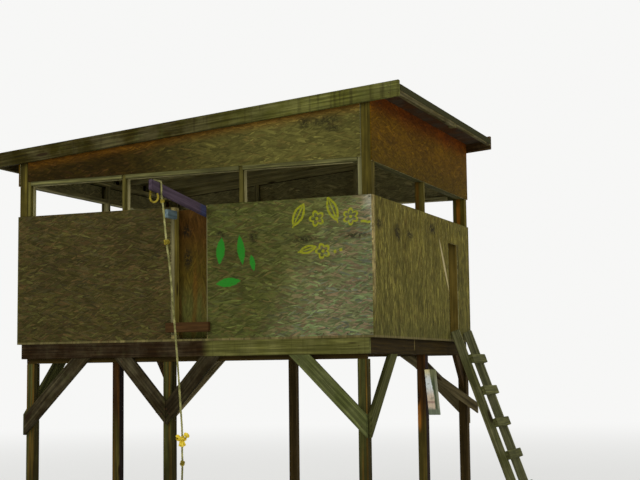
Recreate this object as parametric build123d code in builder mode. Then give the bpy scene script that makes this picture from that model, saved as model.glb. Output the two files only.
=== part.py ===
from build123d import *
import math
import os

os.makedirs("parts", exist_ok=True)

# Lumber and sheet stock, in millimetres
board_thick = 38.0
four_wide = 89.0
six_wide = 140.0
eight_wide = 184.0
post_wide = 89.0
panel_thick = 11.0
deck_thick = 19.0
roof_deck_thick = 12.0
roofing_thick = 6.0
eased = 3.0
butt_gap = 2.0

# Cabin box, measured to the outside of the wall panels
length = 3660.0
depth = 3050.0
floor_height = 1830.0
sill_height = 1220.0
window_height = 300.0
high_wall = 2038.0
roof_pitch = 4.7

# Platform framing and posts
rim_setback = 50.0
joist_spacing = 520.0
joist_clear = 100.0
rim_joint = 1270.0
front_beam_wide = eight_wide

# Posts: the corner posts in front, the middle pair, those on the sides and those at the back
front_post_out = 88.0
mid_post_place = 2084.0
side_post_place = 1645.0
side_post_out = 70.0
back_post_out = 25.0

# Knee braces
brace_reach = 723.0
mid_brace_reach = 543.0
mid_brace_drop = 616.0
short_brace_reach = 300.0
short_brace_drop = 350.0
stay_start = 752.0
stay_past = 100.0
stay_pitch = 35.7

# Wall framing
stud_spacing = 1220.0
cripple_spacing = 610.0
first_stud = 1285.0
upper_inset = 7.0

# Front doorway and its leaf
front_door_right = 1620.0
door_clear = 328.0
leaf_overlap = 30.0
leaf_thick = 11.0
leaf_lift = 12.0
leaf_top = 1200.0
leaf_gap = 5.0
door_panel_lap = 15.0

# Side doorway
side_door_back = 425.0
side_door_wide = 345.0
side_door_sill = 55.0
side_door_top = 990.0

# Roof edges
side_overhang = 270.0
rafter_count = 6
eave_joint = 1655.0
eave_near_tall = 78.0
eave_far_tall = 50.0
eave_block_wide = 65.0
eave_block_long = 83.0
eave_block_tall = 74.0
flap_drop = 48.0
flap_thick = 4.0

# Ladder on the side wall
ladder_lean = 20.0
ladder_clear = 10.0
ladder_wide = 500.0
ladder_top = 70.0
rung_top = 205.0
rung_spacing = 322.0
rung_count = 5
rung_past = 22.0

# Outrigger for the rope
outrigger_reach = 985.0
outrigger_rise = 6.9
outrigger_top = 1212.0

# Kick board across the front doorway
kick_low = 62.0
kick_left = 2020.0
kick_right = 1578.0

# Stub of lumber beside the top of the front doorway
stub_left = 1958.0
stub_reach = 160.0
stub_low = 1105.0
stub_tall = 76.0

# Small board on the side post, its sides aslant
plaque_wide = 114.0
plaque_high = 438.0
plaque_thick = 19.0
plaque_slant = 39.0
plaque_top = 304.0
plaque_lap = 8.0

# Hinges of the front door
hinge_plate = 3.0
hinge_pin = 3.0
hinge_barrel = 5.5
hinge_high = 60.0
hinge_low_place = 220.0
hinge_high_place = 980.0
strap_long = 250.0
hinge_play = 0.3
hinge_side = 34.0
hinge_crank = 2.0
hinge_swing = 1.0

# Rope: the turn over the outrigger is given from the beam's centre, the hanging part from its top
rope_radius = 9.0
rope_sides = 12
rope_place = 850.0
hitch_clear = 0.8
turn_slack = 4.0
turn_bend = 18.0
turn_shift = 75.0
seat_gap = 0.3
arc_share = 0.45
tail_offsets = [
    (-29.0, -84.0, -116.0),
    (22.0, -90.0, -114.0),
    (20.0, -94.0, -62.0),
    (-6.0, -97.0, -66.0),
]
rope_offsets = [
    (0.0, 0.0, 0.0),
    (10.0, 0.0, -48.0),
    (24.0, 0.0, -152.0),
    (43.0, 0.0, -359.0),
    (84.0, 0.0, -634.0),
    (100.0, 0.0, -804.0),
    (117.0, 0.0, -1007.0),
    (140.0, 0.0, -1252.0),
    (161.0, 0.0, -1503.0),
    (182.0, 0.0, -1794.0),
    (199.0, 0.0, -2018.0),
    (195.0, 0.0, -2175.0),
    (201.0, 0.0, -2265.0),
    (192.0, 0.0, -2450.0),
]
knot_places = [(0.02, 13.0), (0.167, 16.0), (0.845, 28.0), (0.924, 15.0), (1.0, 19.0)]
rope_labels = ("rope", "rope_turn", "rope_knots")

# Heights and planes that follow from the sizes above
deck_under = floor_height - deck_thick
rim_under = deck_under - six_wide
beam_under = deck_under - front_beam_wide
sill_top = floor_height + sill_height
window_top = sill_top + window_height
frame_in = panel_thick + four_wide
left_face = -length
rim_right_face = -rim_setback
rim_left_face = -length + rim_setback
slope = math.tan(math.radians(roof_pitch))
rafter_tall = four_wide / math.cos(math.radians(roof_pitch))
rake_tall = six_wide / math.cos(math.radians(roof_pitch))
roof_right = side_overhang
roof_left = -length - side_overhang
mid_y = depth / 2
lean = math.tan(math.radians(ladder_lean))

pieces = []


def keep(builder, label):
    """Names a finished piece and puts it on the list to be written."""
    builder.part.label = label
    pieces.append(builder.part)


def facing_front(y):
    """A sketch plane parallel to the front wall and facing the viewer, X to the right and Z up."""
    return Plane(origin=(0, y, 0), x_dir=(1, 0, 0), z_dir=(0, -1, 0))


def facing_right(x):
    """A sketch plane parallel to the side walls and facing right, Y to the right and Z up."""
    return Plane(origin=(x, 0, 0), x_dir=(0, 1, 0), z_dir=(1, 0, 0))


def rafter_under(x):
    """Height of the rafters' underside at a place along the length."""
    return floor_height + high_wall + x * slope


def span(low, high):
    """A straight board, given by two opposite corners."""
    size = [b - a for a, b in zip(low, high)]
    with Locations(low):
        Box(*size, align=(Align.MIN, Align.MIN, Align.MIN))


def roof_strip(left, right, under, over):
    """An upright strip that follows the roof slope, its ends cut plumb."""
    corners = [
        (left, rafter_under(left) + under),
        (right, rafter_under(right) + under),
        (right, rafter_under(right) + over),
        (left, rafter_under(left) + over),
    ]
    Polygon(*corners, align=None)


def under_roof(left, right, bottom, drop=0.0):
    """A strip from a level bottom up to the underside of the rafters."""
    corners = [
        (left, bottom),
        (right, bottom),
        (right, rafter_under(right) - drop),
        (left, rafter_under(left) - drop),
    ]
    Polygon(*corners, align=None)


def under_deck(left, right, tall):
    """A board's end under the roof deck, its top cut to the slope."""
    under_roof(left, right, rafter_under(left) + rafter_tall - tall, -rafter_tall)


def brace_profile(post_side, direction, reach, drop, width):
    """A knee brace: level cut under the rim, plumb cut at the post."""
    long = math.hypot(reach, drop)
    corners = [
        (post_side, rim_under - drop),
        (post_side + direction * reach, rim_under),
        (post_side + direction * (reach - width * long / drop), rim_under),
        (post_side, rim_under - drop + width * long / reach),
    ]
    Polygon(*corners, align=None)


# Posts from the ground to the beams and rims
front_post_xs = [-front_post_out - post_wide, -mid_post_place, left_face + front_post_out]
side_post_xs = [-side_post_out - post_wide, left_face + side_post_out]
back_post_xs = [-back_post_out - post_wide, -mid_post_place, left_face + back_post_out]
back_post_y = depth - board_thick - post_wide

with BuildPart() as front_posts:
    for x in front_post_xs:
        span((x, board_thick, 0), (x + post_wide, board_thick + post_wide, beam_under))
    chamfer(front_posts.edges().filter_by(Axis.Z), eased)
keep(front_posts, "front_posts")

with BuildPart() as back_posts:
    for x in back_post_xs:
        span((x, back_post_y, 0), (x + post_wide, back_post_y + post_wide, rim_under))
    chamfer(back_posts.edges().filter_by(Axis.Z), eased)
keep(back_posts, "back_posts")

with BuildPart() as side_posts:
    for x in side_post_xs:
        y = side_post_place
        span((x, y, 0), (x + post_wide, y + post_wide, rim_under))
    chamfer(side_posts.edges().filter_by(Axis.Z), eased)
keep(side_posts, "side_posts")

# Rim boards round the platform
with BuildPart() as rim_front:
    span((rim_left_face, 0, rim_under), (rim_right_face, board_thick, deck_under))
    chamfer(rim_front.edges().filter_by(Axis.X), eased)
keep(rim_front, "rim_front")

with BuildPart() as rim_back:
    span((rim_left_face, depth - board_thick, rim_under), (rim_right_face, depth, deck_under))
    chamfer(rim_back.edges().filter_by(Axis.X), eased)
keep(rim_back, "rim_back")

rim_near_end = rim_joint - butt_gap / 2
rim_far_start = rim_joint + butt_gap / 2

with BuildPart() as rim_right:
    x = rim_right_face - board_thick
    span((x, board_thick, rim_under), (rim_right_face, rim_near_end, deck_under))
    span((x, rim_far_start, rim_under), (rim_right_face, depth - board_thick, deck_under))
    chamfer(rim_right.edges().filter_by(Axis.Y), eased)
keep(rim_right, "rim_right")

with BuildPart() as rim_left:
    x = rim_left_face + board_thick
    span((rim_left_face, board_thick, rim_under), (x, depth - board_thick, deck_under))
    chamfer(rim_left.edges().filter_by(Axis.Y), eased)
keep(rim_left, "rim_left")

# Beams inside the rim, the front one deeper
beam_in = 2 * board_thick
with BuildPart() as floor_beams:
    left = rim_left_face + board_thick
    right = rim_right_face - board_thick
    span((left, board_thick, beam_under), (right, beam_in, deck_under))
    span((left, depth - beam_in, rim_under), (right, depth - board_thick, deck_under))
    for x in (left, right - board_thick):
        low = (x, beam_in + butt_gap, rim_under)
        span(low, (x + board_thick, depth - beam_in - butt_gap, deck_under))
keep(floor_beams, "floor_beams")

# Joists between the side beams: one over the side posts, the others spaced from it, one over the stays
cross_y = side_post_place + post_wide / 2 - board_thick / 2
stay_y = back_post_y - board_thick
joists_near = int((cross_y - beam_in - joist_clear) / joist_spacing)
joists_far = int((stay_y - board_thick - joist_clear - cross_y) / joist_spacing)
joist_ys = [cross_y + i * joist_spacing for i in range(-joists_near, joists_far + 1)]
with BuildPart() as floor_joists:
    left = rim_left_face + beam_in
    right = rim_right_face - beam_in
    for y in [*joist_ys, stay_y]:
        span((left, y, rim_under), (right, y + board_thick, deck_under))
    chamfer(floor_joists.edges().filter_by(Axis.X), eased)
keep(floor_joists, "floor_joists")

with BuildPart() as floor_deck:
    span((left_face, 0, deck_under), (0, depth, floor_height))
keep(floor_deck, "floor_deck")

# Knee braces in the plane of the front rim and of the back rim
mid_post_centre = -mid_post_place + post_wide / 2
with BuildPart() as knee_braces_front:
    with BuildSketch(facing_front(0)):
        x = mid_post_centre
        brace_profile(-front_post_out, -1, brace_reach, brace_reach, six_wide)
        brace_profile(left_face + front_post_out, 1, brace_reach, brace_reach, six_wide)
        brace_profile(x + butt_gap / 2, 1, mid_brace_reach, mid_brace_drop, six_wide)
        brace_profile(x - butt_gap / 2, -1, mid_brace_reach, mid_brace_drop, six_wide)
    extrude(amount=-board_thick)
keep(knee_braces_front, "knee_braces_front")

# At the back long flat stays join them, nailed to the fronts of the corner posts and running past them
stay_tan = math.tan(math.radians(stay_pitch))
stay_level = four_wide / math.sin(math.radians(stay_pitch))
stay_plumb = four_wide / math.cos(math.radians(stay_pitch))
stay_end = rim_under - (stay_start + stay_past) * stay_tan
with BuildPart() as knee_braces_back:
    with BuildSketch(facing_front(depth - board_thick)):
        brace_profile(-back_post_out, -1, brace_reach, brace_reach, six_wide)
        brace_profile(left_face + back_post_out, 1, brace_reach, brace_reach, six_wide)
    extrude(amount=-board_thick)
    with BuildSketch(facing_front(stay_y)):
        for corner, way in ((0, 1), (left_face, -1)):
            Polygon(
                (corner - way * stay_start, rim_under),
                (corner + way * stay_past, stay_end),
                (corner + way * stay_past, stay_end + stay_plumb),
                (corner - way * (stay_start - stay_level), rim_under),
                align=None,
            )
    extrude(amount=-board_thick)
keep(knee_braces_back, "knee_braces_back")

# Knee braces in the planes of the side rims, long ones in front and short ones at the back
with BuildPart() as knee_braces_side:
    for x in (rim_right_face, left_face + rim_setback + board_thick):
        with BuildSketch(facing_right(x)):
            y = back_post_y
            brace_profile(board_thick, 1, brace_reach, brace_reach, six_wide)
            brace_profile(y, -1, short_brace_reach, short_brace_drop, four_wide)
        extrude(amount=-board_thick)
keep(knee_braces_side, "knee_braces_side")

# Corner posts of the cabin
corner_ys = (panel_thick, depth - frame_in)
with BuildPart() as corner_posts:
    for y in corner_ys:
        with BuildSketch(facing_front(y)):
            under_roof(-frame_in, -panel_thick, floor_height)
            under_roof(left_face + panel_thick, left_face + frame_in, floor_height)
        extrude(amount=-post_wide)
keep(corner_posts, "corner_posts")

# Wall plates: sole plates on the deck, open at both doorways, and sill plates under the windows
front_door_left = front_door_right + door_clear
side_door_far = depth - side_door_back
side_door_near = side_door_far - side_door_wide
plate_top = floor_height + board_thick
wall_left = left_face + frame_in
wall_right = -frame_in
plate_near = frame_in + butt_gap
plate_far = depth - frame_in - butt_gap
stud_under_sill = sill_top - board_thick
front_runs = [(-front_door_right, wall_right), (wall_left, -front_door_left)]
with BuildPart() as wall_plates:
    for low, high in ((floor_height, plate_top), (stud_under_sill, sill_top)):
        for left, right in front_runs:
            span((left, panel_thick, low), (right, frame_in, high))
        span((wall_left, depth - frame_in, low), (wall_right, depth - panel_thick, high))
        span((left_face + panel_thick, plate_near, low), (wall_left, plate_far, high))
    span((wall_right, plate_near, floor_height), (-panel_thick, side_door_near, plate_top))
    span((wall_right, side_door_far, floor_height), (-panel_thick, plate_far, plate_top))
    span((wall_right, plate_near, stud_under_sill), (-panel_thick, plate_far, sill_top))
keep(wall_plates, "wall_plates")

# Studs of the lower wall, between the sole plates and the sill plates
jamb_xs = [-front_door_right, -front_door_left - board_thick, -front_door_left - 2 * board_thick]
front_stud_xs = [-cripple_spacing - frame_in / 2, -first_stud, *jamb_xs]
front_stud_xs += [-first_stud - stud_spacing, -first_stud - stud_spacing - cripple_spacing]
back_stud_xs = [-first_stud + i * cripple_spacing for i in (1, 0, -1, -2, -3)]
side_stud_count = int((depth - 2 * frame_in - board_thick) / cripple_spacing)
side_stud_ys = [frame_in + (i + 1) * cripple_spacing for i in range(side_stud_count)]
right_stud_ys = [frame_in + cripple_spacing, mid_y]
right_stud_ys += [side_door_near - board_thick, side_door_far]
with BuildPart() as wall_studs:
    for x in front_stud_xs:
        span((x, panel_thick, plate_top), (x + board_thick, frame_in, stud_under_sill))
    for x in back_stud_xs:
        low = (x, depth - frame_in, plate_top)
        span(low, (x + board_thick, depth - panel_thick, stud_under_sill))
    for y in right_stud_ys:
        span((wall_right, y, plate_top), (-panel_thick, y + board_thick, stud_under_sill))
    for y in side_stud_ys:
        low = (left_face + panel_thick, y, plate_top)
        span(low, (wall_left, y + board_thick, stud_under_sill))
keep(wall_studs, "wall_studs")

# Studs that stand in the window band and carry the roof
band_xs = [-first_stud, -first_stud - stud_spacing]
end_xs = [wall_right - board_thick, wall_left]
with BuildPart() as window_studs:
    for y in (panel_thick, depth - frame_in):
        with BuildSketch(facing_front(y)):
            for x in band_xs + end_xs:
                under_roof(x, x + board_thick, sill_top)
        extrude(amount=-four_wide)
    y = mid_y - board_thick / 2
    with BuildSketch(facing_front(y)):
        under_roof(wall_right, -panel_thick, sill_top, board_thick)
        under_roof(left_face + panel_thick, wall_left, sill_top, board_thick)
    extrude(amount=-board_thick)
keep(window_studs, "window_studs")

# Upper plates: tilted ones on the side walls, and headers over the windows, cut in between the studs
header_top = window_top + board_thick
cuts = sorted(band_xs + end_xs)
header_runs = [(a + board_thick, b) for a, b in zip(cuts, cuts[1:])]
mid_stud_near = mid_y - board_thick / 2
mid_stud_far = mid_y + board_thick / 2
with BuildPart() as upper_plates:
    with BuildSketch(facing_front(frame_in)):
        roof_strip(wall_right, -panel_thick, -board_thick, 0)
        roof_strip(left_face + panel_thick, wall_left, -board_thick, 0)
    extrude(amount=2 * frame_in - depth)
    for a, b in header_runs:
        span((a, 0, window_top), (b, four_wide, header_top))
        span((a, depth - four_wide, window_top), (b, depth, header_top))
    for x in (wall_right, left_face + panel_thick):
        span((x, frame_in, window_top), (x + four_wide, mid_stud_near, header_top))
        span((x, mid_stud_far, window_top), (x + four_wide, depth - frame_in, header_top))
keep(upper_plates, "upper_plates")

# Lower wall panels
panel_left = left_face + panel_thick
with BuildPart() as front_panel_right:
    low_x = -front_door_right + door_panel_lap
    span((low_x, 0, floor_height), (-panel_thick, panel_thick, sill_top))
keep(front_panel_right, "front_panel_right")

with BuildPart() as front_panel_left:
    high_x = -front_door_left - board_thick
    span((panel_left, 0, floor_height), (high_x, panel_thick, sill_top))
keep(front_panel_left, "front_panel_left")

with BuildPart() as right_panel_near:
    span((-panel_thick, 0, floor_height), (0, side_door_near, sill_top))
keep(right_panel_near, "right_panel_near")

with BuildPart() as right_panel_at_door:
    low = (-panel_thick, side_door_near, floor_height + side_door_top)
    span(low, (0, side_door_far, sill_top))
    low = (-panel_thick, side_door_near, floor_height)
    span(low, (0, side_door_far, floor_height + side_door_sill))
keep(right_panel_at_door, "right_panel_at_door")

with BuildPart() as right_panel_far:
    span((-panel_thick, side_door_far, floor_height), (0, depth, sill_top))
keep(right_panel_far, "right_panel_far")

with BuildPart() as back_panel:
    low = (panel_left, depth - panel_thick, floor_height)
    span(low, (-panel_thick, depth, sill_top))
keep(back_panel, "back_panel")

with BuildPart() as left_panel:
    span((left_face, 0, floor_height), (panel_left, depth, sill_top))
keep(left_panel, "left_panel")

# Upper wall panels, cut to the roof slope
upper_right = -frame_in - upper_inset
upper_left = left_face + frame_in + upper_inset
with BuildPart() as upper_panel_front:
    with BuildSketch(facing_front(0)):
        under_roof(upper_left, upper_right, header_top, -rafter_tall)
    extrude(amount=-panel_thick)
keep(upper_panel_front, "upper_panel_front")

with BuildPart() as upper_panel_back:
    with BuildSketch(facing_front(depth - panel_thick)):
        under_roof(upper_left, upper_right, header_top, -rafter_tall)
    extrude(amount=-panel_thick)
keep(upper_panel_back, "upper_panel_back")

# Rafters run down the slope between the side walls, the first and the last over the front and back
rafter_first = panel_thick
rafter_last = depth - panel_thick - board_thick
rafter_step = (rafter_last - rafter_first) / (rafter_count - 1)
with BuildPart() as rafters:
    for y in [rafter_first + i * rafter_step for i in range(rafter_count)]:
        with BuildSketch(facing_front(y)):
            roof_strip(panel_left, -panel_thick, 0, rafter_tall)
        extrude(amount=-board_thick)
keep(rafters, "rafters")

# The upper side panels cover the rafter ends and reach the roof deck
with BuildPart() as upper_panel_right:
    with BuildSketch(facing_front(0)):
        under_roof(-panel_thick, 0, window_top, -rafter_tall)
    extrude(amount=-depth)
keep(upper_panel_right, "upper_panel_right")

with BuildPart() as upper_panel_left:
    with BuildSketch(facing_front(0)):
        under_roof(left_face, panel_left, window_top, -rafter_tall)
    extrude(amount=-depth)
keep(upper_panel_left, "upper_panel_left")

# Roof deck and the rolled roofing on it, turned down over the eave boards
deck_over = rafter_tall + roof_deck_thick
with BuildPart() as roof_deck:
    with BuildSketch(facing_front(0)):
        roof_strip(roof_left, roof_right, rafter_tall, deck_over)
    extrude(amount=-depth)
keep(roof_deck, "roof_deck")

roofing_over = deck_over + roofing_thick
with BuildPart() as roofing:
    with BuildSketch(facing_front(0)):
        roof_strip(roof_left - flap_thick, roof_right + flap_thick, deck_over, roofing_over)
        low = deck_over - flap_drop
        roof_strip(roof_right, roof_right + flap_thick, low, roofing_over)
        roof_strip(roof_left - flap_thick, roof_left, low, roofing_over)
    extrude(amount=-depth)
keep(roofing, "roofing")

# Rake boards on the front and back walls
with BuildPart() as rake_boards:
    with BuildSketch(facing_front(-board_thick)):
        roof_strip(roof_left, roof_right, 0, rake_tall)
    extrude(amount=-board_thick)
    with BuildSketch(facing_front(depth)):
        roof_strip(roof_left, roof_right, 0, rake_tall)
    extrude(amount=-board_thick)
keep(rake_boards, "rake_boards")

# Eave boards under the edges of the roof deck, on the right in two lengths with a block between them
eave_in = roof_right - board_thick
block_near = eave_joint + butt_gap
block_far = block_near + eave_block_long
far_start = block_far + butt_gap
with BuildPart() as eave_boards:
    with BuildSketch(facing_front(0)):
        under_deck(eave_in, roof_right, eave_near_tall)
    extrude(amount=-eave_joint)
    with BuildSketch(facing_front(far_start)):
        under_deck(eave_in, roof_right, eave_far_tall)
    extrude(amount=far_start - depth)
    with BuildSketch(facing_front(0)):
        under_deck(roof_left, roof_left + board_thick, four_wide)
    extrude(amount=-depth)
keep(eave_boards, "eave_boards")

with BuildPart() as eave_block:
    with BuildSketch(facing_front(block_near)):
        under_deck(roof_right - eave_block_wide, roof_right, eave_block_tall)
    extrude(amount=-eave_block_long)
keep(eave_block, "eave_block")

# Ladder: two rails that lean on the side wall, foot cut level, top cut square
rail_run = four_wide / math.cos(math.radians(ladder_lean))
rail_head = floor_height + ladder_top
square_x = four_wide * math.cos(math.radians(ladder_lean))
square_z = four_wide * math.sin(math.radians(ladder_lean))
foot_in = rail_head * lean
ladder_near = side_door_near + ladder_clear
rail_ys = (ladder_near, ladder_near + ladder_wide - board_thick)
with BuildPart() as ladder_rails:
    for y in rail_ys:
        with BuildSketch(facing_front(y)):
            Polygon(
                (0, rail_head),
                (foot_in, 0),
                (foot_in + rail_run, 0),
                (square_x, rail_head + square_z),
                align=None,
            )
        extrude(amount=-board_thick)
keep(ladder_rails, "ladder_rails")

# Rungs nailed across the outer edges of the rails
along = (math.sin(math.radians(ladder_lean)), -math.cos(math.radians(ladder_lean)))
with BuildPart() as ladder_rungs:
    for i in range(rung_count):
        drop = rung_top + i * rung_spacing + ladder_top
        centre_x = square_x + (drop + square_z) * lean
        centre_z = rail_head - drop
        with BuildSketch(facing_front(ladder_near)):
            half = four_wide / 2
            out = (board_thick * -along[1], board_thick * along[0])
            a = (centre_x - along[0] * half, centre_z - along[1] * half)
            b = (centre_x + along[0] * half, centre_z + along[1] * half)
            c = (b[0] + out[0], b[1] + out[1])
            d = (a[0] + out[0], a[1] + out[1])
            Polygon(a, b, c, d, align=None)
        extrude(amount=-ladder_wide - rung_past)
keep(ladder_rungs, "ladder_rungs")

# Door leaf in the front doorway, behind the jambs
leaf_front = frame_in + leaf_gap
leaf_back = leaf_front + leaf_thick
leaf_left = -front_door_left - leaf_overlap
leaf_right = -front_door_right + leaf_overlap
with BuildPart() as front_door:
    low = (leaf_left, leaf_front, floor_height + leaf_lift)
    span(low, (leaf_right, leaf_back, floor_height + leaf_top))
keep(front_door, "front_door")

# Hinges: a cranked plate on the jamb, and a strap on the leaf
pin_x = leaf_left - hinge_barrel - hinge_crank
pin_y = leaf_back + hinge_barrel - hinge_plate / 2
hinge_zs = [floor_height + hinge_low_place, floor_height + hinge_high_place]
knuckle = hinge_high / 3
with BuildPart() as hinge_plates:
    for z in hinge_zs:
        with BuildSketch(Plane.XY.offset(z)):
            Polygon(
                (pin_x - hinge_side, frame_in),
                (pin_x - hinge_crank, frame_in),
                (pin_x - hinge_crank, pin_y),
                (pin_x - hinge_crank - hinge_plate, pin_y),
                (pin_x - hinge_crank - hinge_plate, frame_in + hinge_plate),
                (pin_x - hinge_side, frame_in + hinge_plate),
                align=None,
            )
            with Locations((pin_x, pin_y)):
                Circle(hinge_barrel)
        extrude(amount=hinge_high)
        with BuildSketch(Plane.XY.offset(z + knuckle - hinge_play)):
            with Locations((pin_x, pin_y)):
                Circle(hinge_barrel + hinge_swing)
        extrude(amount=knuckle + 2 * hinge_play, mode=Mode.SUBTRACT)
        with BuildSketch(Plane.XY.offset(z)):
            with Locations((pin_x, pin_y)):
                Circle(hinge_pin)
        extrude(amount=hinge_high)
keep(hinge_plates, "hinge_plates")

with BuildPart() as hinge_straps:
    for z in hinge_zs:
        with BuildSketch(Plane.XY.offset(z + knuckle)):
            with Locations((pin_x, pin_y)):
                Circle(hinge_barrel)
            with Locations((pin_x, leaf_back)):
                Rectangle(strap_long, hinge_plate, align=(Align.MIN, Align.MIN))
            with Locations((pin_x, pin_y)):
                Circle(hinge_pin + hinge_play, mode=Mode.SUBTRACT)
        extrude(amount=knuckle)
keep(hinge_straps, "hinge_straps")

# Kick board across the front doorway
kick_bottom = floor_height + kick_low
with BuildPart() as kick_board:
    span((-kick_left, -board_thick, kick_bottom), (-kick_right, 0, kick_bottom + four_wide))
    chamfer(kick_board.edges().filter_by(Axis.X), eased)
keep(kick_board, "kick_board")

# Outrigger nailed to the right jamb, rising away from the wall
rise = math.tan(math.radians(outrigger_rise))
outrigger_tall = four_wide / math.cos(math.radians(outrigger_rise))
outrigger_head = floor_height + outrigger_top
inner_top = outrigger_head - frame_in * rise
outer_top = outrigger_head + outrigger_reach * rise
with BuildPart() as rope_outrigger:
    with BuildSketch(facing_right(-front_door_right - board_thick)):
        Polygon(
            (-outrigger_reach, outer_top - outrigger_tall),
            (frame_in, inner_top - outrigger_tall),
            (frame_in, inner_top),
            (-outrigger_reach, outer_top),
            align=None,
        )
    extrude(amount=board_thick)
keep(rope_outrigger, "rope_outrigger")

# Stub of lumber nailed to the front of the left jamb
stub_bottom = floor_height + stub_low
with BuildPart() as door_stub:
    low = (-stub_left, -stub_reach, stub_bottom)
    span(low, (-stub_left + board_thick, panel_thick, stub_bottom + stub_tall))
keep(door_stub, "door_stub")

# Bare board nailed to the front of the side post
plaque_x = -side_post_out - plaque_lap
plaque_z = floor_height - plaque_top
with BuildPart() as post_plaque:
    with BuildSketch(facing_front(side_post_place)):
        Polygon(
            (plaque_x, plaque_z),
            (plaque_x + plaque_slant, plaque_z - plaque_high),
            (plaque_x + plaque_slant + plaque_wide, plaque_z - plaque_high),
            (plaque_x + plaque_wide, plaque_z),
            align=None,
        )
    extrude(amount=plaque_thick)
keep(post_plaque, "post_plaque")

# Rope: a turn over the outrigger that ends in a tail, the hanging rope, and its knots
outrigger_x = -front_door_right - board_thick / 2
turn_mid = outrigger_head + rope_place * rise - outrigger_tall / 2
turn_x = board_thick / 2 + rope_radius + hitch_clear
turn_z = outrigger_tall / 2 + rope_radius + turn_slack
beam_centre = Vector(outrigger_x, -rope_place, turn_mid)
turn_offsets = [
    (turn_x, 0, -turn_z),
    (turn_x, 0, turn_z),
    (-turn_x, -turn_shift, turn_z + turn_shift * rise),
    *tail_offsets,
]


def corner_radii(points):
    """A radius for each corner: a share of its shorter run over the tangent of half its turn."""
    radii = []
    for before, here, after in zip(points, points[1:], points[2:]):
        run_in = Vector(*here) - Vector(*before)
        run_out = Vector(*after) - Vector(*here)
        turn = math.radians(run_in.get_angle(run_out))
        radii.append(arc_share * min(run_in.length, run_out.length) / math.tan(turn / 2))
    return radii


turn_route = [tuple(beam_centre + Vector(*offset)) for offset in turn_offsets]
turn_radii = [min(turn_bend, radius) for radius in corner_radii(turn_route)]
with BuildPart() as rope_turn:
    with BuildLine() as turn_path:
        FilletPolyline(*turn_route, radius=turn_radii)
    with BuildSketch(Plane(origin=turn_path.wire() @ 0, z_dir=turn_path.wire() % 0)):
        RegularPolygon(rope_radius, rope_sides)
    sweep(path=turn_path.wire())
keep(rope_turn, "rope_turn")

first_run = Vector(*rope_offsets[1])
rope_lift = rope_radius * first_run.X / first_run.length
rope_z = turn_mid - turn_z - rope_lift - seat_gap
rope_top = Vector(outrigger_x + turn_x, -rope_place, rope_z)
rope_route = [tuple(rope_top + Vector(*offset)) for offset in rope_offsets]
rope_radii = corner_radii(rope_route)
with BuildPart() as rope:
    with BuildLine() as rope_path:
        FilletPolyline(*rope_route, radius=rope_radii)
    with BuildSketch(Plane(origin=rope_path.wire() @ 0, z_dir=rope_path.wire() % 0)):
        RegularPolygon(rope_radius, rope_sides)
    sweep(path=rope_path.wire())
keep(rope, "rope")

# Knots along the rope, each a bead of its own size, and the stop knot at its end
with BuildPart() as rope_knots:
    for share, radius in knot_places:
        with Locations(rope_path.wire() @ share):
            Sphere(radius)
    add(rope.part, mode=Mode.SUBTRACT)
keep(rope_knots, "rope_knots")

# The origin lies on the ground under the middle of the outline, measured without the rope
fixed_boxes = [piece.bounding_box() for piece in pieces if piece.label not in rope_labels]
origin_x = (min(b.min.X for b in fixed_boxes) + max(b.max.X for b in fixed_boxes)) / 2
origin_y = (min(b.min.Y for b in fixed_boxes) + max(b.max.Y for b in fixed_boxes)) / 2
for piece in pieces:
    placed = Pos(-origin_x, -origin_y, 0) * piece
    placed.label = piece.label
    export_step(placed, "parts/" + piece.label + ".step")
print("origin from the cabin corner", round(origin_x, 3), round(origin_y, 3))
print("rope radii", [round(r) for r in rope_radii], "length", round(rope_path.wire().length))
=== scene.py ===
import random
from functools import partial, reduce
from math import ceil, cos, pi, radians, sin, tan

import bmesh
import bpy
from mathutils import Matrix, Vector
from mathutils.bvhtree import BVHTree


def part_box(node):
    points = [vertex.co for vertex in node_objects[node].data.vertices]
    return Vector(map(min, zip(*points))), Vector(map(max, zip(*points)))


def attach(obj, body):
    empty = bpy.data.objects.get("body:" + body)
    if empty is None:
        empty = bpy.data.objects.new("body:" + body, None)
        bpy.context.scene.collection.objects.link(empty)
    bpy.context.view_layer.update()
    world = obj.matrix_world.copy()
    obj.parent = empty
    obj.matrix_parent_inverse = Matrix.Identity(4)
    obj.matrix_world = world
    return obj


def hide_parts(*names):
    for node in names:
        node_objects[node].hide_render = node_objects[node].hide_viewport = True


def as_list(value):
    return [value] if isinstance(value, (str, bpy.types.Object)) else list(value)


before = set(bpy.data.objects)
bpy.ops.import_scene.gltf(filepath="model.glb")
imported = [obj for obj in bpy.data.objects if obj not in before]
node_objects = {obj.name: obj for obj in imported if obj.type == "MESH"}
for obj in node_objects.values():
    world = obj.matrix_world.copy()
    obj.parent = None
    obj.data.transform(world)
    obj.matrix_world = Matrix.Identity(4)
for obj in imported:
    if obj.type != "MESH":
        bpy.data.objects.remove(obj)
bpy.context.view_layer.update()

# The cabin's front right corner, at the top of the deck, is where places on the walls are measured from
CORNER = Vector((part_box("right_panel_near")[1].x, *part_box("right_panel_near")[0].yz))
WALL_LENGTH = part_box("floor_deck")[1].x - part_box("floor_deck")[0].x
WALL_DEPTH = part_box("floor_deck")[1].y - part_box("floor_deck")[0].y
ROOF_RISE = tan(radians(4.7))

# Camera, as fitted to the photograph's edges
EYE = CORNER + Vector((3.8148, -10.6314, -0.2926))
LOOK_TURN = 22.073
LOOK_UP = 5.651
LOOK_ROLL = -0.71
LENS = 73.7
SENSOR = 36.0
FAR_CLIP = 400.0

# Plaque on the side post: its top left corner's place along the wall and above the deck, its size and its lean
PLAQUE_TOP = (-0.078, -0.304)
PLAQUE_SIZE = (0.114, 0.438)
PLAQUE_LEAN = 0.039

# Place along the right wall where two boards of the rim meet
RIM_JOINT = 1.254

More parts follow.
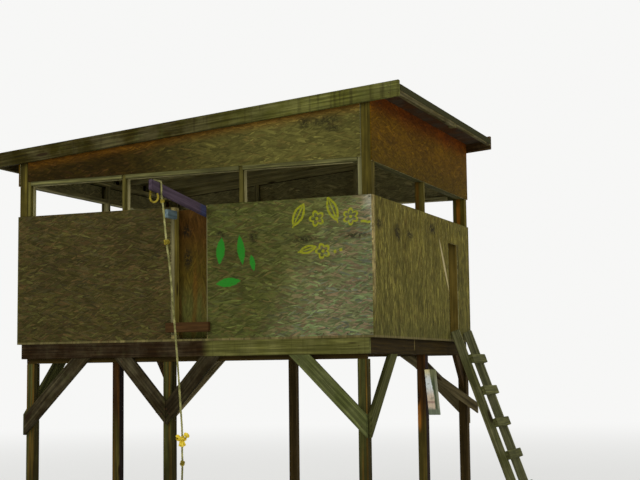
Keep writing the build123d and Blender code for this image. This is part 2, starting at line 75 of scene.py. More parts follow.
# Level above which, and depths behind the walls' outer faces past which, sheets and framing are raw wood, and how
# far left of the right wall framing still looks weathered
INDOOR_LEVEL = -0.003
SHEET_DEPTH = 0.006
FRAME_DEPTH = 0.046
FRAME_REACH = 0.2

# Width of a strip of roofing that shows
LAP_STEP = 0.86

# How much light every finish mirrors, how rough the wood is, how deep its relief, and a painted mark's soft edge
SHINE = 0.05
BOARD_ROUGHNESS, BOARD_RELIEF = 0.82, 0.0012
LUMBER_ROUGHNESS, LUMBER_RELIEF = 0.80, 0.0014
PAINT_EDGE = (-0.004, 0.005)

# Boards: the gap that closes between corners, the angle below which faces join into one, the angle above which an
# edge wears, and how far it wears
MERGE_GAP = 1e-5
FLAT_ANGLE = radians(1)
SHARP_ANGLE = radians(50)
EDGE_WEAR = 0.003

# Nails
NAIL_SIDES = 8
NAIL_RADIUS = 0.0045
NAIL_RISE = 0.0014
NAIL_SINK = -0.001
NAIL_STEP = 0.24
NAIL_INSET = 0.018
NAIL_END = 0.10
NAIL_SPREAD = 0.45
RAY_START = 0.5
SQUARE_ON = 0.9

# Studio; the tones are light, with an opacity
FLOOR_HALF = 60.0
FLOOR_TONE = (0.78, 0.78, 0.76, 1.0)
FLOOR_WHITE = 0.45
FLOOR_FADE = (5.0, 26.0)
SKY_TONE = (0.93, 0.93, 0.92, 1.0)
SKY_LIGHT = 0.78
SKY_WHITE = 1.0
LAMPS = (("key_light", (-5.0, -11.0, 9.0), 620.0), ("side_light", (12.0, -3.0, 7.0), 420.0))
LAMP_SIZE = 6.0
LAMP_AIM = Vector((0, 0, 2.2))
SQUARE = ((-1, -1), (1, -1), (1, 1), (-1, 1))

# Rope, in metres: the turn over the outrigger and the tail from the beam's centre, the hanging part from its top
ROPE_RADIUS = 0.009
ROPE_PLACE = 0.850
ROPE_SIDE = 0.0288
ROPE_LIFT = 0.0018
SEAT_GAP = 0.0003
TURN_RISE = 0.0578
TURN_OFFSETS = [
    (0.029, 0.000, -0.057), (0.029, 0.000, 0.010), (0.029, -0.002, 0.047),
    (0.025, -0.007, 0.056), (0.010, -0.024, 0.058), (-0.010, -0.046, 0.061),
    (-0.025, -0.066, 0.062), (-0.029, -0.074, 0.054), (-0.029, -0.078, 0.020),
    (-0.029, -0.080, -0.030),
]
TAIL_OFFSETS = [
    (-0.029, -0.080, -0.030), (-0.032, -0.083, -0.068), (-0.031, -0.086, -0.108),
    (0.001, -0.089, -0.136), (0.041, -0.091, -0.122), (0.053, -0.093, -0.084),
    (0.042, -0.094, -0.058),
]
ROPE_OFFSETS = [
    (0.0, 0.0, 0.0), (0.010, 0.0, -0.048), (0.024, 0.0, -0.152),
    (0.043, 0.0, -0.359), (0.084, 0.0, -0.634), (0.100, 0.0, -0.804),
    (0.117, 0.0, -1.007), (0.140, 0.0, -1.252), (0.161, 0.0, -1.503),
    (0.182, 0.0, -1.794), (0.199, 0.0, -2.018), (0.195, 0.0, -2.175),
    (0.201, 0.0, -2.265), (0.192, 0.0, -2.450),
]
STRANDS = 3
STRAND_RADIUS = ROPE_RADIUS / 2
STRAND_LAY = 0.062
ROPE_STEP = 0.005
TUBE_SIDES = 8
CURVE_STEPS = 24

# Knots: each one's name, its place as a share of the rope's length, its size, the radius of its rope and its turn
KNOTS = (
    ("rope_knot_top", 0.022, 0.015, 0.0058, 20),
    ("rope_knot_upper", 0.167, 0.021, 0.0078, 20),
    ("rope_knot_lower", 0.924, 0.019, 0.0070, 70),
    ("rope_knot_end", 0.994, 0.023, 0.0080, 130),
)
KNOT_POINTS = 90
KNOT_LEAN = 78
KNOT_DEPTH = 1.4

# Bow, in millimetres from the rope: each ribbon's route, its width, and the direction that its width faces
BOW_RIBBONS = (
    ([(0, -14, 0), (12, -20, 24), (34, -22, 46), (58, -16, 38), (54, -12, 14), (28, -14, 2), (0, -14, 0)],
     34, (0.6, 0.3, 0.75)),
    ([(0, -14, 0), (-14, -20, 22), (-36, -22, 32), (-50, -16, 18), (-38, -12, 4), (-16, -14, -2), (0, -14, 0)],
     28, (-0.5, 0.4, 0.75)),
    ([(0, -14, 4), (-2, -22, -20), (-6, -22, -40), (-12, -18, -56)], 26, (1.0, 0.2, 0.1)),
    ([(6, -14, 4), (10, -26, -22), (14, -27, -42), (14, -24, -58)], 28, (1.0, -0.2, 0.0)),
    ([(10, -14, 4), (22, -20, -18), (30, -20, -36), (36, -18, -50)], 20, (1.0, 0.3, 0.3)),
    ([(-26, -18, 12), (-6, -25, 10), (14, -27, 12), (30, -20, 18)], 34, (0.0, 0.2, 1.0)),
)
BOW_PLACE = 0.845
BOW_THICKNESS = 0.002
BAND_RADIUS = 0.017
BAND_WIDTH = 0.030
BAND_THICKNESS = 0.003
BAND_POINTS = 28
BAND_TURNS = ((0.006, 0.005), (-0.004, -0.003))


def display(colour):
    """A colour as a screen shows it, 0 to 255, turned into the light that a material gives back."""
    shares = (part / 255 for part in colour)
    return tuple(((c + 0.055) / 1.055) ** 2.4 if c > 10 / 255 else c / 12.92 for c in shares)


# Shader maths

def operator(operation, reflected=False):
    """A method of Value that adds one Math node."""
    def method(self, *others):
        terms = (*others, self) if reflected else (self, *others)
        return self.finish.node("Math", {"operation": operation}, dict(enumerate(terms)))
    return method


class Value:
    """A number that varies over a surface. Python's operators on it add Math nodes."""

    __add__ = __radd__ = operator("ADD")
    __sub__ = operator("SUBTRACT")
    __rsub__ = operator("SUBTRACT", reflected=True)
    __mul__ = __rmul__ = operator("MULTIPLY")
    __truediv__ = operator("DIVIDE")
    __mod__ = operator("FLOORED_MODULO")
    __abs__ = operator("ABSOLUTE")
    __gt__ = operator("GREATER_THAN")
    __lt__ = operator("LESS_THAN")
    larger = operator("MAXIMUM")
    smaller = operator("MINIMUM")
    sine = operator("SINE")
    arctan2 = operator("ARCTAN2")
    root = operator("SQRT")
    exponent = operator("EXPONENT")

    def __init__(self, finish, socket):
        self.finish = finish
        self.socket = socket

    def ramp(self, low, high):
        """0 below low, 1 above high, and smooth between them. With low above high it falls instead."""
        settings = {"interpolation_type": "SMOOTHSTEP"}
        return self.finish.node("MapRange", settings, {0: self, 1: low, 2: high})


class Finish:
    """A material or world whose nodes are made one by one: type, settings, and the sockets' values or links.

    A colour of three parts is one that a screen shows, 0 to 255, and one of four parts is light.
    """

    def __init__(self, name, owners=bpy.data.materials):
        self.owner = owners.new(name)
        self.owner.use_nodes = True
        self.tree = self.owner.node_tree
        self.tree.nodes.clear()

    def node(self, kind, settings=None, inputs=None, output=0):
        made = self.tree.nodes.new("ShaderNode" + kind)
        for key, value in (settings or {}).items():
            setattr(made, key, value)
        for key, value in (inputs or {}).items():
            socket = made.inputs[key]
            if isinstance(value, Value):
                self.tree.links.new(value.socket, socket)
            elif socket.type == "RGBA" and len(value) == 3:
                socket.default_value = (*display(value), 1.0)
            else:
                socket.default_value = value
        return Value(self, made.outputs[output])

    def place(self):
        """The x, y and z of a point, measured from the cabin's corner."""
        point = self.node("TexCoord", output="Object")
        shift = {"operation": "SUBTRACT"}
        return self.split(self.node("VectorMath", shift, {0: point, 1: tuple(CORNER)}))

    def normal(self):
        """The three parts of the direction that the surface faces."""
        return self.split(self.node("NewGeometry", output="Normal"))

    def attribute(self, name, output):
        return self.node("Attribute", {"attribute_name": name}, output=output)

    def split(self, vector):
        outputs = self.node("SeparateXYZ", None, {0: vector}).socket.node.outputs
        return tuple(Value(self, output) for output in outputs)

    def join(self, x, y, z=0.0):
        return self.node("CombineXYZ", None, {0: x, 1: y, 2: z})

    def noise(self, at, scale, detail=2.0, rough=0.5):
        inputs = {"Vector": self.join(*at), "Scale": scale, "Detail": detail, "Roughness": rough}
        return self.node("TexNoise", None, inputs)

    def cells(self, at, output="Color", feature="F1"):
        inputs = {"Vector": self.join(*at), "Scale": 1.0}
        return self.node("TexVoronoi", {"feature": feature}, inputs, output)

    def mix(self, share, first, second, way="MIX"):
        """Two colours mixed: the first where share is 0, the second where it is 1."""
        settings = {"data_type": "RGBA", "blend_type": way}
        return self.node("Mix", settings, {0: share, 6: first, 7: second}, 2)

    def coats(self, colour, *coats):
        """A colour with coats over it, each a share and a colour."""
        for share, coat in coats:
            colour = self.mix(share, colour, coat)
        return colour

    def surface(self, colour, roughness, height, distance, strength=0.8, metallic=0.0):
        """The finished material; its relief is the height at a place, times the distance in metres."""
        relief = {"Height": height, "Distance": distance, "Strength": strength}
        inputs = {
            "Base Color": colour,
            "Roughness": roughness,
            "Metallic": metallic,
            "Specular IOR Level": SHINE,
            "Normal": self.node("Bump", None, relief),
        }
        return self.finished(self.node("BsdfPrincipled", None, inputs))

    def finished(self, shader, kind="OutputMaterial"):
        """What the nodes belong to, once a shader is linked to its output."""
        out = self.tree.nodes.new("ShaderNode" + kind)
        self.tree.links.new(shader.socket, out.inputs["Surface"])
        return self.owner


# Colours of the wood, as a screen shows them

OLIVE = (66, 68, 29)
GREY_OLIVE = (84, 86, 43)
# Pale grey of a painted sun patch by the front wall's corner
SUNLIT_CORNER_GREY = (93, 95, 62)
BROWN_OLIVE = (58, 52, 22)
# Almost black brown: painted shade on the front rim left of the doorway
RIM_SHADE_BROWN = (34, 21, 5)
RAW_WOOD = (168, 160, 112)
HIDDEN_WALL = (74, 70, 33)
MOSS = (66, 78, 34)
BLEACHED = (112, 108, 84)
DRIP = (34, 28, 12)
DARK_KNOT = (34, 22, 10)
SPLIT = (18, 14, 8)
CRACK = (26, 22, 10)
SMUDGE = (28, 24, 14)
GREEN_PAINT = (36, 116, 32)
YELLOW_PAINT = (140, 142, 22)


def indoors(place, depth=SHEET_DEPTH):
    """1 on what lies inside the cabin, deeper than a depth behind its walls' outer faces, and 0 elsewhere."""
    x, y, z = place
    return (x > depth - WALL_LENGTH) * (x < -depth) * (y > depth) * (y < WALL_DEPTH - depth) * (z > INDOOR_LEVEL)


# Strand board: each layer's turn in degrees, its strands' length and width, and the share that it leaves bare

STRAND_LAYERS = (
    (2, 0.130, 0.014, 0.0),
    (-7, 0.100, 0.018, 0.45),
    (10, 0.080, 0.012, 0.60),
    (-16, 0.090, 0.015, 0.72),
    (28, 0.060, 0.011, 0.86),
)


def strands(finish, along, across):
    """Overlapping wood strands: a tone for each strand, a tint for each, and the height of the surface."""
    wobble = finish.noise((along, across), 9.0) * 0.016
    tone, tint, height = None, None, None
    for turn, long, wide, bare in STRAND_LAYERS:
        c, s = cos(radians(turn)), sin(radians(turn))
        u = (along * c + across * s) / long
        v = (across * c - along * s + wobble) / wide
        at = (u + turn * 0.37, v + turn * 0.11)
        random_tone, random_tint, mask = finish.split(finish.cells(at))
        edge = finish.cells(at, "Distance", "DISTANCE_TO_EDGE").ramp(0.0, 0.2)
        if tone is None:
            tone, tint, height = random_tone, random_tint, edge
            continue
        here = mask > bare
        tone = tone + (random_tone - tone) * here
        tint = tint + (random_tint - tint) * here
        height = height + (edge + 0.7 - height) * here
    return tone, tint, height


def strand_board(name, plane, upright, base, contrast=1.0, marks=None, raw=1.0):
    """Weathered strand board in the plane of a wall, a roof or a floor, and paler, raw board indoors.

    plane picks the two places that lie in the sheet, upright turns its strands to the second one, base is its
    colour or gives the colour at a place, marks puts paint and stains over it, and raw is how much paler the
    board is indoors.
    """
    finish = Finish(name)
    place = finish.place()
    flat = tuple(place[i] for i in plane)
    along, across = reversed(flat) if upright else flat
    tone, tint, height = strands(finish, along, across)
    fibre = finish.noise((along * 14.0, across * 240.0), 1.0, 3.0, 0.6)
    patch = finish.noise(flat, 1.7, 4.0, 0.6)
    worn = finish.noise(flat, 11.0, 4.0, 0.7)
    pale = (0.16 - tint).ramp(0.0, 0.10)
    shade = tone * 0.55 + pale * 0.30 + fibre * 0.70 + patch * 0.60 + worn * 0.70 - 1.33
    crack = 1.0 - height.ramp(0.0, 0.10)
    colour = finish.coats(
        base(finish, place, tint) if callable(base) else base,
        ((tint - 0.80).ramp(0.0, 0.20) * 0.14, (112, 76, 40)),
        (indoors(place) * raw, RAW_WOOD),
    )
    colour = finish.mix(1.0, colour, (shade * contrast).exponent(), "MULTIPLY")
    colour = finish.mix(crack * 0.30, colour, CRACK)
    if marks:
        colour = marks(finish, place, colour)
    relief = height * 0.6 + fibre * 0.25 + tone * 0.3
    return finish.surface(colour, BOARD_ROUGHNESS, relief, BOARD_RELIEF)


# Sawn lumber

def lumber(name, base, contrast, green=0.0, grey=0.0, drips=0.0, knots=0.8, framing=False):
    """Sawn softwood with grain that follows each board, knots, fine splits, moss, bleached wood and drip marks.

    base is its colour or gives the colour at a place. framing keeps what looks into the cabin as raw wood.
    """
    finish = Finish(name)
    # Each point has its place along its board and the two across it, and a number from 0 to 1 of its board's own
    along, across, through = finish.split(finish.attribute("board", "Vector"))
    board_tone = finish.attribute("tone", "Fac")
    x, y, z = place = finish.place()

    def grain(lengthways, crossways, *look):
        return finish.noise((along * lengthways, across * crossways, through * crossways), 1.0, *look)

    drift = grain(0.9, 3.0, 2.0) - 0.5
    knot_at = (along * 1.9, across * 9.0, through * 9.0)
    knot_far = finish.cells(knot_at, "Distance")
    is_knot = finish.split(finish.cells(knot_at))[0] > 0.45
    knot = (1.0 - knot_far.ramp(0.10, 0.17)) * is_knot
    swirl = (1.0 - knot_far.ramp(0.1, 0.55)) * is_knot
    ring = (across * 150.0 + through * 60.0 + drift * 22.0 + swirl * 5.0).sine() * 0.5 + 0.5
    fibre = grain(5.0, 260.0, 4.0, 0.65)
    streak = grain(1.6, 55.0, 3.0, 0.6)
    split = grain(2.2, 120.0, 1.0).ramp(0.70, 0.76)
    blot = finish.noise(place, 4.0, 4.0, 0.65)
    colour = base(finish, place) if callable(base) else base
    if framing:
        colour = finish.mix(indoors(place, FRAME_DEPTH) * (x < -FRAME_REACH), colour, RAW_WOOD)
    if grey:
        colour = finish.mix((blot + streak * 0.3).ramp(0.50, 0.85) * grey, colour, BLEACHED)
    if green:
        growth = finish.noise(place, 7.5, 5.0, 0.7)
        colour = finish.mix(growth.ramp(0.50, 0.75) * green, colour, MOSS)
    shade = fibre * 0.90 + streak * 2.70 + ring * 0.30 + board_tone * 0.35 + blot * 1.10 - 2.70
    colour = finish.mix(1.0, colour, (shade * contrast).exponent(), "MULTIPLY")
    if drips:
        run = finish.noise((x * 26.0, y * 26.0, z * 1.6), 1.0, 3.0, 0.6)
        colour = finish.mix(run.ramp(0.52, 0.72) * drips, colour, DRIP)
    if knots:
        colour = finish.mix(knot * knots, colour, DARK_KNOT)
    colour = finish.mix(split * 0.7, colour, SPLIT)
    relief = fibre * 0.5 + ring * 0.25 - split * 1.5 + knot * 0.4
    return finish.surface(colour, LUMBER_ROUGHNESS, relief, LUMBER_RELIEF, 0.9)


# Colour of each sheet and board at a place

def front_base(finish, place, tint):
    """The front wall: olive, browner left of the doorway, grey with pink, green and blue strands by the corner,
    where the grey is a painted sun patch.
    """
    x, _, z = place
    pale = finish.noise((x, z), 1.3) - 0.5
    # The corner share is a painted patch of sunlight: grey, with more of the coloured strands showing
    corner = (x * 0.9 - z * 0.5 + pale * 0.5).ramp(-1.15, -0.35)
    blot = finish.noise((x, z), 6.0, 3.0, 0.7)
    share = corner * 0.17 + 0.03
    edge = (x.ramp(-0.035, -0.008) * z.ramp(0.75, 1.05)).larger(x.ramp(-0.12, -0.02) * z.ramp(1.02, 1.16))
    return finish.coats(
        OLIVE,
        (x.ramp(-1.25, -0.25), GREY_OLIVE),
        (corner, SUNLIT_CORNER_GREY),
        (x.ramp(-1.80, -2.05), BROWN_OLIVE),
        ((tint + blot - 1.12).ramp(0.0, 0.10) * share * 1.3, (150, 108, 98)),
        ((blot - tint - 0.28).ramp(0.0, 0.10) * share * 1.3, (60, 104, 62)),
        ((0.07 - abs(tint - 0.5)).ramp(0.0, 0.03) * share, (84, 92, 112)),
        (edge * 0.6, (150, 146, 128)),
    )


def side_base(finish, place, tint):
    """The right wall: yellow-brown, with darker and paler bands up and down it."""
    _, y, z = place
    band = finish.noise((y * 16.0, z * 0.9), 1.0, 3.0, 0.6)
    fleck = finish.noise((y * 55.0, z * 9.0), 1.0, 3.0, 0.7)
    frayed = finish.noise((y * 12.0, z * 3.0), 1.0, 3.0, 0.7) * 0.06
    return finish.coats(
        (80, 75, 30),
        (z.ramp(0.35, 1.1), (84, 76, 27)),
        (band.ramp(0.42, 0.62) * 0.7, (104, 97, 44)),
        (fleck.ramp(0.54, 0.64) * 0.75, (52, 42, 14)),
        ((1.0 - fleck.ramp(0.32, 0.44)) * 0.6, (124, 114, 62)),
        ((1.0 - z.ramp(0.0, 0.25)) * 0.45, (66, 66, 32)),
        ((1.0 - (y - frayed).ramp(0.0, 0.045)) * z.ramp(0.10, 0.6) * 0.65, (142, 126, 84)),
    )


def upper_front_base(finish, place, tint):
    """The upper front and back sheets: olive-brown, darker to the left and redder under the roof."""
    x, _, z = place
    under_roof = (z - x * ROOF_RISE).ramp(1.93, 2.08)
    return finish.coats((38, 28, 3), (x.ramp(-2.6, -0.9), (82, 78, 36)), (under_roof * 0.85, (98, 62, 10)))


def upper_side_base(finish, place, tint):
    """The upper side sheets: orange-brown, and redder under the roof, which is painted shade of the roof's overhang.
    """
    _, y, z = place
    # Redder under the roof: painted shade of the overhang, with its warm bounced light
    under_roof = (z + finish.noise((y, z), 2.5, 3.0, 0.6) * 0.16).ramp(1.98, 2.20)
    return finish.coats((71, 53, 2), (z.ramp(1.55, 1.90), (82, 57, 3)), (under_roof * 0.9, (102, 48, 4)))


def leaf_base(finish, place, tint):
    """The door leaf: brown above, olive below."""
    x, _, z = place
    streak = finish.noise((x * 9.0, z * 1.2), 1.0)
    return finish.coats(
        (76, 75, 33),
        (z.ramp(0.25, 0.60), (68, 56, 14)),
        (z.ramp(0.60, 1.05), (62, 41, 10)),
        (streak.ramp(0.50, 0.66) * 0.5, (90, 56, 14)),
    )


def soffit_base(finish, place, tint):
    """The roof's deck, dark and reddish beneath, grey-violet in patches."""
    patch = finish.noise(place[:2], 2.6, 3.0, 0.6)
    return finish.mix(patch.ramp(0.42, 0.62), (62, 36, 10), (56, 47, 34))


def faded(axis, start, end, first, second):
    """A colour that turns into another between two places along x or y."""
    return lambda finish, place: finish.mix(place[axis].ramp(start, end), first, second)


# The front rim is almost black left of the doorway's right side, which is painted shade; the front braces are
# grey-green at the right post alone and dark elsewhere with painted shade; the side braces are very dark at the
# back; and the far rail of the ladder is the paler one, a painted highlight of its lit side
rim_base = faded(0, -1.68, -1.56, RIM_SHADE_BROWN, (77, 76, 33))
# Front braces: the dark colour away from the right post is painted shade
front_brace_base = faded(0, -1.05, -0.92, (36, 28, 11), (72, 77, 38))
side_brace_base = faded(1, 1.1, 1.7, (62, 62, 30), (58, 43, 20))
# Ladder: the far rail's paler colour is a painted highlight of its lit side
ladder_base = faded(1, 2.68, 2.74, (82, 82, 47), (104, 104, 70))


def dark_base(finish, place):
    """The right rim and the beams: dark brown, with a pale upright mark where two boards of the rim meet."""
    x, y, z = place
    mark = abs(y - RIM_JOINT).ramp(0.020, 0.010) * z.ramp(-0.13, -0.10) * (x > -0.12)
    return finish.mix(mark * 0.6, (43, 33, 9), (116, 102, 58))


def rake_base(finish, place):
    """The rake boards: olive and darker to the left in front, brown at the back."""
    return finish.coats((42, 36, 3), (place[0].ramp(-2.1, -0.5), (76, 76, 28)), (place[1] > 1.0, (66, 44, 16)))


def corner_post_base(finish, place):
    """The corner posts: dark olive, and reddish at the back."""
    back = finish.mix(place[0].ramp(-0.070, -0.045), (112, 72, 18), (82, 72, 22))
    return finish.mix(place[1].ramp(1.0, 2.0), (69, 61, 20), back)


def side_post_base(finish, place):
    """The side posts: red-brown above, olive-brown below, with a rusty streak, and dark violet on their right faces
    as painted shade.
    """
    x, y, z = place
    rust = finish.noise((x * 34.0, y * 34.0, z * 1.4), 1.0)
    streak = abs(z + 0.69 + rust * 0.1).ramp(0.19, 0.08) * x.ramp(-0.108, -0.136) * (x > -0.2)
    return finish.coats(
        (64, 56, 22),
        (z.ramp(-0.95, -0.60), (54, 36, 16)),
        (rust.ramp(0.50, 0.66) * 0.45, (92, 58, 18)),
        (streak * 0.7, (150, 96, 34)),
        # Painted shade: the faces turned to the right are dark violet
        (finish.normal()[0].ramp(0.5, 0.8), (36, 28, 26)),
    )


def post_base(finish, place):
    """The front posts: brown and olive in narrow upright streaks, darker towards the foot, and darker on their right
    faces as painted shade.
    """
    x, y, z = place
    streak = finish.noise((x * 42.0, y * 42.0, z * 0.7), 1.0)
    return finish.coats(
        (84, 64, 22),
        (streak.ramp(0.42, 0.58), (60, 60, 27)),
        # Painted shade: the faces turned to the right are darker
        (finish.normal()[0].ramp(0.4, 0.7), (52, 46, 20)),
        (z.ramp(-0.8, -1.6) * 0.7, (44, 37, 14)),
    )


def window_stud_base(finish, place):
    """The studs in the window band: olive-brown, pale beside the front corner, redder in the right wall."""
    x, y, _ = place
    front = finish.mix(x.ramp(-0.185, -0.175) * (y < 0.12), (78, 72, 31), (100, 97, 64))
    side = finish.mix(x.ramp(-0.072, -0.050), (110, 74, 20), (84, 76, 32))
    return finish.mix(x.ramp(-0.12, -0.05) * (y > 0.3), front, side)


def wall_stud_base(finish, place):
    """The wall studs: raw wood, darker at the side doorway, and grey with a yellower side at the front one."""
    x, y, _ = place
    face = finish.mix(finish.normal()[0].ramp(0.4, 0.7), (98, 92, 62), (120, 108, 47))
    at_door = (x > -2.1) * (x < -1.5) * (y < 0.2)
    at_side = (x > -0.16) * (y > 2.0)
    return finish.mix(at_door, finish.mix(at_side, (124, 112, 66), (104, 88, 38)), face)


def outrigger_base(finish, place):
    """The painted outrigger: purple-grey, bluer by the wall as painted sky light on its end, and paler on top as a
    painted highlight.
    """
    return finish.coats(
        (66, 55, 64),
        # Painted light: bluer by the wall, as sky light on the beam's end
        (place[1].ramp(-0.14, -0.06), (54, 56, 80)),
        # Painted highlight: paler on the faces turned up
        (finish.normal()[2].ramp(0.4, 0.8) * 0.6, (86, 76, 84)),
    )


def plaque_base(finish, place):
    """The plaque: a pale strip down its left, a dull green one down its right, and a grey-green foot."""
    down = (place[2] - PLAQUE_TOP[1]) / -PLAQUE_SIZE[1]
    across = (place[0] - PLAQUE_TOP[0] - down * PLAQUE_LEAN) / PLAQUE_SIZE[0]
    patch = finish.noise((across * 1.5, down * 9.0), 1.0, 3.0, 0.6)
    pale = finish.coats(
        (236, 222, 168),
        (down.ramp(0.0, 0.25), (238, 244, 242)),
        (down.ramp(0.35, 0.65), (222, 200, 172)),
        (abs(down - 0.72).ramp(0.04, 0.01) * 0.6, (150, 104, 98)),
        (patch.ramp(0.50, 0.64) * 0.55, (146, 146, 130)),
    )
    dull = finish.coats(
        (84, 94, 66), (across.ramp(0.74, 0.93), (150, 152, 128)), (down.ramp(0.30, 0.05), (128, 130, 92))
    )
    border = 0.46 + down.ramp(0.1, 0.6) * 0.18 + (patch - 0.5) * 0.2
    foot = down.ramp(0.84, 0.90)
    return finish.coats(pale, ((across - border).ramp(-0.04, 0.05), dull), (foot, (116, 124, 102)))


# Paint marks and stains

def turned(place, centre, turn):
    """Places along and across a direction on a wall, measured from a centre."""
    x, z = place[0] - centre[0], place[2] - centre[1]
    c, s = cos(radians(turn)), sin(radians(turn))
    return x * c + z * s, z * c - x * s


def painted(away, ragged):
    """1 inside a mark, where the distance from it is below 0, and 0 outside it, with an uneven edge."""
    return 1.0 - (away + ragged).ramp(*PAINT_EDGE)


def dab(place, centre, half, turn, ragged):
    """A brush dab: a turned rectangle."""
    u, v = turned(place, centre, turn)
    return painted((abs(u) - half[0]).larger(abs(v) - half[1]), ragged)


def blade(place, centre, half, turn, ragged):
    """A filled leaf, widest at its middle and pointed at both ends."""
    u, v = turned(place, centre, turn)
    return painted(abs(v) + u * u * (half[1] / half[0] ** 2) - half[1], ragged)


def leaf_line(place, centre, half, turn, thick, ragged):
    """A painted leaf: its outline, and a rib along its middle."""
    u, v = turned(place, centre, turn)
    outline = abs(abs(v) + u * u * (half[1] / half[0] ** 2) - half[1]) - thick
    rib = (abs(v) - thick * 0.6).larger(abs(u + half[0] * 0.2) - half[0])
    return painted(outline.larger(abs(u) - half[0] * 1.08).smaller(rib), ragged)


def wave(place, low, high, level, reach, length, thick, ragged):
    """A gentle painted wave between two places along the wall."""
    x, _, z = place
    away = abs(z - level - (x * (2 * pi / length)).sine() * reach) - thick
    return painted(away.larger((x - high).larger(low - x)), ragged)


def flower(place, centre, radius, petals, thick, ragged):
    """A painted flower: an outline of rounded petals, and a dot in its middle."""
    x, z = place[0] - centre[0], place[2] - centre[1]
    far = (x * x + z * z).root()
    petal = abs((z.arctan2(x) * (petals / 2)).sine()) * (radius * 0.45) + radius * 0.60
    return painted((abs(far - petal) - thick).smaller(far - thick * 1.4), ragged)


def smudges(finish, place, colour, spots, strength):
    """Faint dark smudges with cloudy edges; each spot is the two places of its centre and half its size."""
    x, _, z = place
    cloud = finish.noise((x, z), 34.0, 3.0, 0.7).ramp(0.36, 0.56)
    for middle, level, wide, high in spots:
        u, v = (x - middle) / wide, (z - level) / high
        spot = (u * u + v * v).root().ramp(1.2, 0.3)
        colour = finish.mix(spot * cloud * strength, colour, SMUDGE)
    return colour


FRONT_SMUDGES = (
    (-1.470, 0.940, 0.050, 0.050), (-1.140, 0.908, 0.050, 0.065),
    (-0.64, 0.86, 0.16, 0.04), (-0.16, 0.87, 0.14, 0.035),
)
UPPER_SMUDGES = ((-0.45, 1.90, 0.20, 0.060), (-0.64, 1.90, 0.06, 0.070), (-0.36, 1.83, 0.12, 0.035))
SIDE_SMUDGES = (
    (0.155, 0.98, 0.10, 0.060), (0.665, 0.945, 0.080, 0.100),
    (1.02, 0.955, 0.11, 0.060), (1.73, 1.08, 0.14, 0.065),
)
LEAF_SMUDGES = ((-1.87, 1.00, 0.06, 0.07), (-1.86, 0.74, 0.055, 0.12))
GREEN_LEAVES = (
    ((-1.472, 0.790), (0.122, 0.042), 84),
    ((-1.266, 0.790), (0.136, 0.036), 97),
    ((-1.153, 0.670), (0.075, 0.026), 101),
    ((-1.395, 0.502), (0.125, 0.040), 5),
)
YELLOW_MARKS = (
    (leaf_line, (-0.700, 1.075), (0.105, 0.042), 62, 0.010),
    (flower, (-0.525, 1.035), 0.062, 5, 0.010),
    (leaf_line, (-0.375, 1.110), (0.110, 0.040), 112, 0.010),
    (flower, (-0.205, 1.035), 0.066, 6, 0.010),
    (wave, -0.110, -0.020, 0.985, 0.006, 0.12, 0.010),
    (leaf_line, (-0.615, 0.765), (0.080, 0.028), 14, 0.009),
    (flower, (-0.470, 0.745), 0.060, 5, 0.011),
    (dab, (-0.355, 0.735), (0.013, 0.013), 20),
    (dab, (-0.300, 0.750), (0.012, 0.012), 0),
)
SCRAPE = ((2.121, 0.743), (0.31, 0.026), -58.5)


def front_marks(finish, place, colour):
    """The front wall's old paint: green leaves, and yellow leaves, flowers, dots and a wave."""
    flat = (place[0], place[2])
    ragged = (finish.noise(flat, 26.0, 3.0, 0.7) - 0.5) * 0.022
    fine = ragged * 0.7
    colour = smudges(finish, place, colour, FRONT_SMUDGES, 0.8)
    green = reduce(Value.larger, (blade(place, *leaf, ragged) for leaf in GREEN_LEAVES))
    cover = green * (0.96 - finish.noise(flat, 60.0).ramp(0.60, 0.75) * 0.5)
    yellow = reduce(Value.larger, (draw(place, *shape, fine) for draw, *shape in YELLOW_MARKS))
    worn = 0.80 - finish.noise(flat, 45.0).ramp(0.45, 0.75) * 0.50
    return finish.coats(colour, (cover, GREEN_PAINT), (yellow * worn, YELLOW_PAINT))


def side_marks(finish, place, colour):
    """The right wall's pale scrape beside the doorway, and its smudges."""
    seen = (place[1], None, place[2])
    ragged = (finish.noise(place[1:], 30.0, 3.0, 0.7) - 0.5) * 0.02
    colour = finish.mix(blade(seen, *SCRAPE, ragged * 0.4) * 0.75, colour, (172, 158, 118))
    return smudges(finish, seen, colour, SIDE_SMUDGES, 0.95)


# The upper front sheet and the door leaf have smudges alone
upper_marks = partial(smudges, spots=UPPER_SMUDGES, strength=0.7)
leaf_marks = partial(smudges, spots=LEAF_SMUDGES, strength=0.95)


# Other finishes

def roofing_felt():
    """Dark mineral-faced roofing in lapped strips, dusted with grit and greener at its edges."""
    finish = Finish("roofing_felt")
    place = finish.place()
    grit = finish.noise(place, 320.0, 2.0, 0.7)
    patch = finish.noise(place, 1.3, 5.0, 0.6)
    moss = finish.noise(place, 4.0, 5.0, 0.7)
    strip = (place[0] % LAP_STEP) / LAP_STEP
    colour = finish.coats(
        (38, 36, 28),
        (grit.ramp(0.35, 0.7), (70, 66, 54)),
        (patch.ramp(0.45, 0.75) * 0.6, (58, 54, 40)),
        (moss.ramp(0.55, 0.75) * 0.7, (52, 62, 22)),
        ((1.0 - finish.normal()[2].ramp(0.4, 0.8)) * 0.8, (46, 46, 18)),
        ((1.0 - strip.ramp(0.0, 0.014)) * 0.7, (22, 20, 14)),
    )
    return finish.surface(colour, 0.92, grit * 0.3 - strip * 2.0, 0.002)


def rope_fibre(name, light, dark):
    """Weathered rope fibre, darker in its hollows and greener in patches."""
    finish = Finish(name)
    place = finish.place()
    hair = finish.noise(place, 420.0, 3.0, 0.7)
    patch = finish.noise(place, 16.0, 3.0, 0.6)
    colour = finish.mix((hair * 0.5 + patch * 0.8 - 0.15).ramp(0.30, 0.70), dark, light)
    return finish.surface(colour, 0.9, hair, 0.0008)


